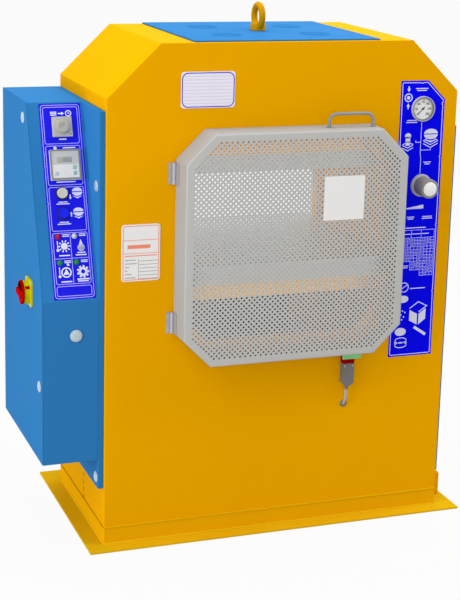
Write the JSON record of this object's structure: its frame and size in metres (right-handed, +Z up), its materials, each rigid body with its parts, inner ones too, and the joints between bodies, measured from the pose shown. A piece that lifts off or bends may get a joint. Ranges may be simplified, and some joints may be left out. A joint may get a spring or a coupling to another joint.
{
  "type": "vulcanizing machine",
  "caption": "Hydraulic heated platen press in a welded window frame with a hinged perforated guard, an interlock, a pressure gauge and a sloped control cabinet.",
  "frame": {"origin": "on the floor, under the middle of the machine's body", "axes": "+Z up, -Y towards the front with the guard, +X to the right seen from the front"},
  "size_m": [1.1318, 0.5876, 1.3041],
  "materials": {
    "yellow_paint": "golden yellow gloss paint",
    "blue_paint": "mid blue gloss paint",
    "guard_paint": "light grey powder coat",
    "grey_paint": "mid grey enamel",
    "ground_steel": "ground platen face",
    "dark_steel": "hard dark ram surface",
    "bright_steel": "plated",
    "zinc_yellow": "yellow zinc plate",
    "pale_plastic": "pale grey housing",
    "dark_plastic": "dark grey moulded",
    "pale_blue_plastic": "soft key",
    "teal_plastic": "soft key",
    "blue_plastic": "button cap",
    "yellow_plastic": "switch base",
    "red_plastic": "moulded",
    "green_plastic": "moulded",
    "white_plastic": "lamp lens",
    "clear_glass": "gauge window",
    "white_plate": "white plate, left bare"
  },
  "bodies": {
    "frame": {"base_plate": "yellow_paint", "plinth": "yellow_paint", "side_duct": "yellow_paint", "front_plate": "yellow_paint", "rear_plate": "yellow_paint", "left_inner_wall": "yellow_paint", "right_inner_wall": "yellow_paint", "left_outer_wall": "yellow_paint", "right_outer_wall": "yellow_paint", "roof_sheet": "yellow_paint", "head_beam": "yellow_paint", "bed_beam": "yellow_paint", "top_cover": "blue_paint", "eyebolt": "zinc_yellow", "left_cover": "blue_paint", "right_cover": "blue_paint", "upper_platen": "ground_steel", "cylinder": "grey_paint", "oil_tank": "grey_paint", "pump_motor": "grey_paint", "pressure_pipe": "bright_steel", "cabinet_shell": "blue_paint", "cabinet_cover": "blue_paint", "cabinet_cap": "bright_steel", "contactor": "dark_plastic", "terminal_block": "pale_plastic", "timer_body": "pale_plastic", "controller_body": "pale_plastic", "lamp_red": "red_plastic", "lamp_white": "white_plastic", "lamp_green_left": "green_plastic", "lamp_green_right": "green_plastic", "switch_base": "yellow_plastic", "gauge_case": "dark_plastic", "gauge_lens": "clear_glass", "regulator_base": "dark_plastic", "name_plate": "white_plate", "rating_plate": "white_plate", "upper_hinge_leaf": "bright_steel", "lower_hinge_leaf": "bright_steel", "interlock_head": "red_plastic", "interlock_body": "grey_paint", "interlock_lead": "pale_plastic"},
    "guard": {"guard_shell": "guard_paint", "guard_handle": "bright_steel", "interlock_actuator": "green_plastic", "upper_guard_leaf": "bright_steel", "lower_guard_leaf": "bright_steel"},
    "ram": {"ram": "dark_steel", "moving_table": "yellow_paint", "lower_platen": "ground_steel"},
    "main_switch": {"switch_handle": "red_plastic"},
    "timer": {"timer_knob": "pale_plastic"},
    "stop": {"stop_button": "pale_plastic"},
    "start": {"start_button": "blue_plastic"},
    "key_1": {"controller_key_1": "pale_blue_plastic"},
    "key_2": {"controller_key_2": "teal_plastic"},
    "key_3": {"controller_key_3": "teal_plastic"},
    "regulator": {"regulator_knob": "dark_plastic"},
    "needle": {"gauge_needle": "dark_plastic"}
  },
  "joints": [
    {"name": "guard_hinge", "type": "hinge", "parent": "frame", "child": "guard", "pos_m": [-0.2863, -0.2298, 0.463], "axis": [0, 0, 1], "range_deg": [-90, 0]},
    {"name": "ram_lift", "type": "slide", "parent": "frame", "child": "ram", "axis": [0, 0, 1], "range_m": [0, 0.2125]},
    {"name": "main_switch_turn", "type": "hinge", "parent": "frame", "child": "main_switch", "pos_m": [-0.6003, -0.089, 0.62148], "axis": [-1, 0, 0], "range_deg": [-90, 0]},
    {"name": "timer_turn", "type": "hinge", "parent": "frame", "child": "timer", "pos_m": [-0.5188, -0.07568, 1.01629], "axis": [0, -0.9393, 0.3432], "range_deg": [-270, 0]},
    {"name": "stop_press", "type": "slide", "parent": "frame", "child": "stop", "axis": [0, 0.9393, -0.3432], "range_m": [0, 0.004], "stiffness_N_per_m": 400},
    {"name": "start_press", "type": "slide", "parent": "frame", "child": "start", "axis": [0, 0.9393, -0.3432], "range_m": [0, 0.004], "stiffness_N_per_m": 400},
    {"name": "key_1_press", "type": "slide", "parent": "frame", "child": "key_1", "axis": [0, 0.9393, -0.3432], "range_m": [0, 0.0008], "stiffness_N_per_m": 500},
    {"name": "key_2_press", "type": "slide", "parent": "frame", "child": "key_2", "axis": [0, 0.9393, -0.3432], "range_m": [0, 0.0008], "stiffness_N_per_m": 500},
    {"name": "key_3_press", "type": "slide", "parent": "frame", "child": "key_3", "axis": [0, 0.9393, -0.3432], "range_m": [0, 0.0008], "stiffness_N_per_m": 500},
    {"name": "regulator_turn", "type": "hinge", "parent": "frame", "child": "regulator", "pos_m": [0.3618, -0.2245, 0.8668], "axis": [0, -1, 0], "range_deg": [-900, 0]},
    {"name": "needle_turn", "type": "hinge", "parent": "frame", "child": "needle", "pos_m": [0.3555, -0.2245, 1.0598], "axis": [0, -1, 0], "range_deg": [-270, 0], "stiffness_Nm_per_rad": 0.001}
  ]
}
